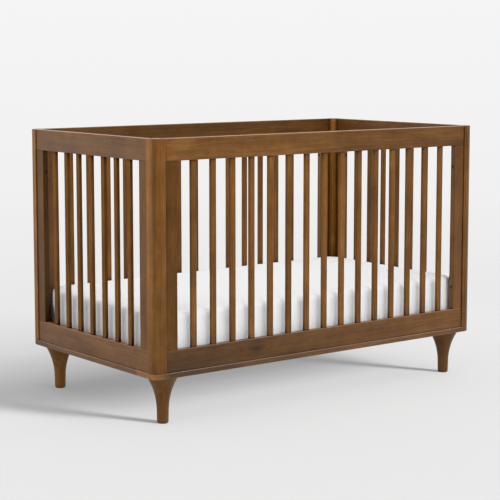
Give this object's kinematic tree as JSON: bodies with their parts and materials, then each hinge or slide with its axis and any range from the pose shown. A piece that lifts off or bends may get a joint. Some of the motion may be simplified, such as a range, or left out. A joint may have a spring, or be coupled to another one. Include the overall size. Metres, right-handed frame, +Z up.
{
  "type": "baby crib",
  "caption": "Mid-century baby crib in walnut-stained wood with rounded corner posts, slatted sides, turned flared legs, a height-adjustable steel mattress support and a white mattress.",
  "frame": {"origin": "on the floor, at the centre of the crib's outline", "axes": "+X along the crib's length to its right end, +Y from its front to its back, +Z up"},
  "size_m": [1.365, 0.755, 0.889],
  "materials": {
    "walnut_wood": "satin walnut-brown stain and lacquer over fine, straight-grained wood",
    "black_steel": "satin black powder coat",
    "zinc_steel": "zinc-plated hardware",
    "nylon": "dull brown-grey moulded glide",
    "mattress_cotton": "white woven cotton cover, softly rounded edges"
  },
  "bodies": {
    "crib_frame": {"post_front_left": "walnut_wood", "post_front_right": "walnut_wood", "post_back_left": "walnut_wood", "post_back_right": "walnut_wood", "front_top_rail": "walnut_wood", "front_bottom_rail": "walnut_wood", "front_stile_left": "walnut_wood", "front_stile_right": "walnut_wood", "front_slats": "walnut_wood", "back_top_rail": "walnut_wood", "back_bottom_rail": "walnut_wood", "back_stile_left": "walnut_wood", "back_stile_right": "walnut_wood", "back_slats": "walnut_wood", "left_top_rail": "walnut_wood", "left_bottom_rail": "walnut_wood", "left_stile_front": "walnut_wood", "left_stile_back": "walnut_wood", "left_slats": "walnut_wood", "right_top_rail": "walnut_wood", "right_bottom_rail": "walnut_wood", "right_stile_front": "walnut_wood", "right_stile_back": "walnut_wood", "right_slats": "walnut_wood", "base_block_front_left": "walnut_wood", "base_block_front_right": "walnut_wood", "base_block_back_left": "walnut_wood", "base_block_back_right": "walnut_wood", "base_rail_front": "walnut_wood", "base_rail_back": "walnut_wood", "base_rail_left": "walnut_wood", "base_rail_right": "walnut_wood", "leg_front_left": "walnut_wood", "leg_front_right": "walnut_wood", "leg_back_left": "walnut_wood", "leg_back_right": "walnut_wood", "leg_glides": "nylon", "leg_hanger_bolts": "zinc_steel", "leg_inserts": "zinc_steel", "panel_bolts": "black_steel", "post_inserts": "zinc_steel", "base_screws": "zinc_steel", "height_inserts": "zinc_steel", "height_pins": "black_steel"},
    "mattress_support": {"support_rail_front": "black_steel", "support_rail_back": "black_steel", "support_rail_left": "black_steel", "support_rail_right": "black_steel", "support_cross_bars": "black_steel", "deck_long_wires": "black_steel", "deck_cross_wires": "black_steel", "arm_front_left": "black_steel", "arm_front_right": "black_steel", "arm_back_left": "black_steel", "arm_back_right": "black_steel", "arm_rivets": "zinc_steel"},
    "mattress": {"mattress": "mattress_cotton"}
  },
  "joints": [
    {"name": "mattress_height", "type": "slide", "parent": "crib_frame", "child": "mattress_support", "axis": [0, 0, 1], "range_m": [0, 0.228]},
    {"name": "mattress_lift", "type": "slide", "parent": "mattress_support", "child": "mattress", "axis": [0, 0, 1], "range_m": [0, 0.7]}
  ]
}
